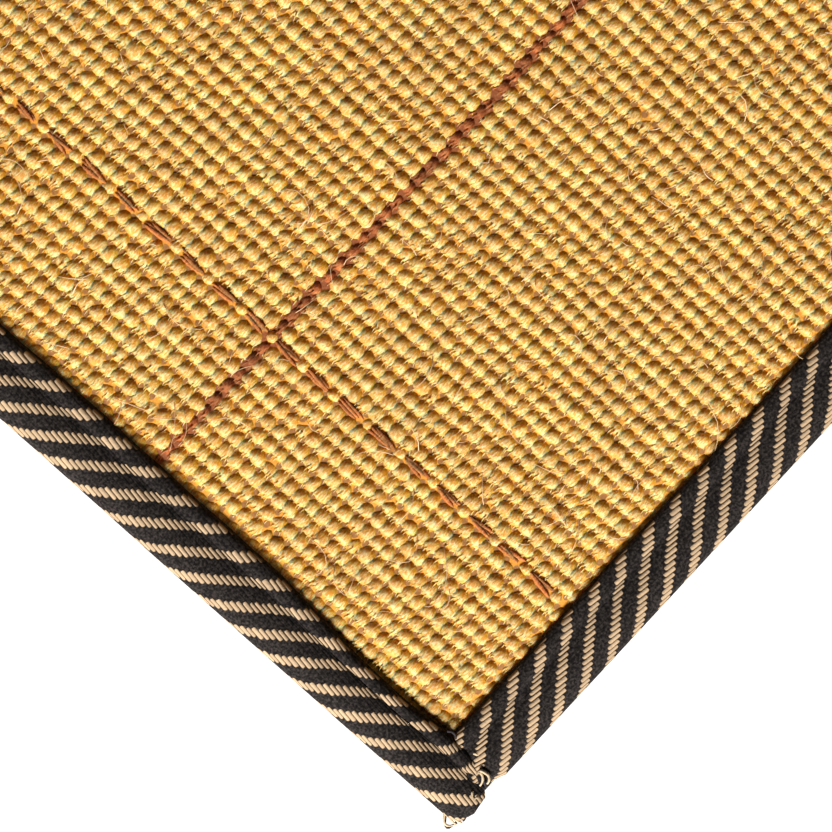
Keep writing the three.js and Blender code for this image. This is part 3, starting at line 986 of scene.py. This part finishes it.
def frayCorners():
    lines = {"pale": [], "black": []}
    t = np.linspace(0, 1, fray["steps"])
    for number, (name, node, begin, end, *rest) in enumerate(sides):
        start, length, along, inwards = sideLine(begin, end)
        corner, back = start + length * along, -along
        for *stops, height, colour in frayedYarns:
            first, middle, last = np.array(stops) + dice.normal(0, 0.5, (3, 2)) * (number > 0)
            bend = 2 * middle - (first + last) / 2
            flat = np.outer((1 - t) ** 2, first) + np.outer(2 * t * (1 - t), bend) + np.outer(t ** 2, last)
            z = height + 0.3 * np.sin(math.pi * t) - 0.6 * t ** 3
            where = corner + (flat[:, :1] * inwards + flat[:, 1:] * back) * mm
            lines[colour].append(np.column_stack([where, z * mm]))
    pieces = []
    for colour, finish in (("pale", paleYarnFinish), ("black", blackYarnFinish)):
        many = np.array(lines[colour])
        swell = fray["radius"] * (1 - 0.35 * t ** 2) * (1 + 0.12 * np.sin(14 * t))
        radii = np.tile(swell, (len(many), 1))
        pieces.append(tubes(f"frayedYarns{colour.title()}", many, radii, finish, fray["sides"]))
    return pieces


def cottonYarn(name, low, high):
    # Loose cotton yarn from the tape: matt and downy
    material, tree, skin = newMaterial(name, 0.9, 0.2)
    place = addNode(tree, "TexCoord").outputs["Object"]
    lint = addNode(tree, "TexNoise", {"Scale": 1500.0, "Detail": 3.0}, {"Vector": place})
    mix = addNode(tree, "Mix", {"data_type": "RGBA", "A": low, "B": high}, {"Factor": lint})
    plug(tree, mix, skin.inputs["Base Color"])
    return material


paleYarnFinish = cottonYarn("looseBeigeCotton", "#a3855c", "#e6d2b2")
blackYarnFinish = cottonYarn("looseBlackCotton", "#0e0c0c", "#443e40")

# Fine down along the outside of the tapes
down = {
    "spacing": 0.9 * mm,
    "radius": 0.05 * mm,
    "shortest": 0.6 * mm,
    "longest": 1.9 * mm,
    "clearOfCorner": 6 * mm,
}
# the tape's outer face, as heights and as distances in from the edge (mm)
outerFace = ([0.65, 2.1, 4.1, 5.7, 7.0, 8.05], [1.4, 0.35, 0, 0.4, 1.4, 2.9])


def layDown():
    feet, tips = [], []
    for name, node, begin, end, *rest in sides:
        start, length, along, inwards = sideLine(begin, end)
        count = int(length / down["spacing"])
        s = dice.uniform(down["clearOfCorner"], length - down["clearOfCorner"], count)
        height = dice.uniform(1.5, 8.0, count) * mm
        depth = np.interp(height / mm, *outerFace) * mm
        foot = start + s[:, None] * along + (depth + edgeWander(s, length) + 0.1 * mm)[:, None] * inwards
        reach = dice.uniform(down["shortest"], down["longest"], count)
        way = dice.normal(0, 0.7, count)
        flat = np.cos(way)[:, None] * -inwards + np.sin(way)[:, None] * along
        feet.append(np.column_stack([foot, height]))
        rise = dice.normal(0, 0.3, count) * reach
        tips.append(np.column_stack([foot + flat * reach[:, None], height + rise]))
    feet, tips = np.concatenate(feet), np.concatenate(tips)
    tips[:, 2] = np.maximum(tips[:, 2], 0.3 * mm)
    return spikes("tapeDown", feet, tips, np.full(len(feet), down["radius"]), blackYarnFinish)


# The floor, light and camera
studio = {
    "floorSize": 8.0,
    "floorColour": "#f4f3f1",
    "keyAim": (-0.3, -0.15, 0),
    "keyFrom": (-0.858, -0.517, 0),  # the light comes over the left binding
    "keyHeight": 32.0,
    "keyDistance": 3.0,
    "keySize": 0.9,
    "keyPower": 205.0,
    "fill": 1.15,
}


def makeFloor():
    pickOnly()
    bpy.ops.mesh.primitive_plane_add(size=studio["floorSize"], location=(0, 0, 0))
    floor = bpy.context.object
    floor.name = "floor"
    material, tree, skin = newMaterial("paleFloor", 0.9)
    skin.inputs["Base Color"].default_value = linearColour(studio["floorColour"])
    floor.data.materials.append(material)
    floor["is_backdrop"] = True


def makeLight():
    rise = math.radians(studio["keyHeight"])
    way = Vector(studio["keyFrom"]).normalized() * math.cos(rise)
    way.z = math.sin(rise)
    bpy.ops.object.light_add(type="AREA", location=Vector(studio["keyAim"]) + way * studio["keyDistance"])
    key = bpy.context.object
    key.data.size = studio["keySize"]
    key.data.energy = studio["keyPower"]
    key.rotation_mode = "QUATERNION"
    key.rotation_quaternion = (-way).to_track_quat("-Z", "Y")
    world = bpy.data.worlds.new("studioFill")
    bpy.context.scene.world = world
    world.use_nodes = True
    world.node_tree.nodes["Background"].inputs["Strength"].default_value = studio["fill"]


camera = {
    "corner": (-450 * mm, -300 * mm),
    "stands": (109.65 * mm, 227 * mm, 813.5 * mm),  # from that corner
    "looksAt": (90.65 * mm, 103.7 * mm, 6 * mm),
    "upwards": math.radians(43.0),  # the way on the floor that is up in the picture, from +X
    "lens": 108.2,
}


def makeCamera():
    base = Vector((*camera["corner"], 0))
    stands = base + Vector(camera["stands"])
    forward = (base + Vector(camera["looksAt"]) - stands).normalized()
    up = Vector((math.cos(camera["upwards"]), math.sin(camera["upwards"]), 0))
    right = forward.cross(up).normalized()
    up = right.cross(forward)
    bpy.ops.object.camera_add()
    eye = bpy.context.object
    eye.matrix_world = Matrix((
        (right.x, up.x, -forward.x, stands.x),
        (right.y, up.y, -forward.y, stands.y),
        (right.z, up.z, -forward.z, stands.z),
        (0, 0, 0, 1)))
    eye.data.lens = camera["lens"]
    eye.data.sensor_width = 36
    eye.data.clip_start = 0.05
    bpy.context.scene.camera = eye


makeFloor()
makeLight()
makeCamera()
print("studio set")

loosePieces = frayCorners() + [layDown()]
for piece in loosePieces:
    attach(piece, rug["body"])
for k, side in enumerate(sides):
    makeTape(*side, seed=31 + k)
print("binding folded on")

for piece in [groundPiece] + weavePieces:
    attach(piece, rug["body"])
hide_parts("sisal_field")

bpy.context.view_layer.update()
triangles = {o.name: sum(len(f.vertices) - 2 for f in o.data.polygons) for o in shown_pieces()}
print("triangles:", sum(triangles.values()), "in", triangles)
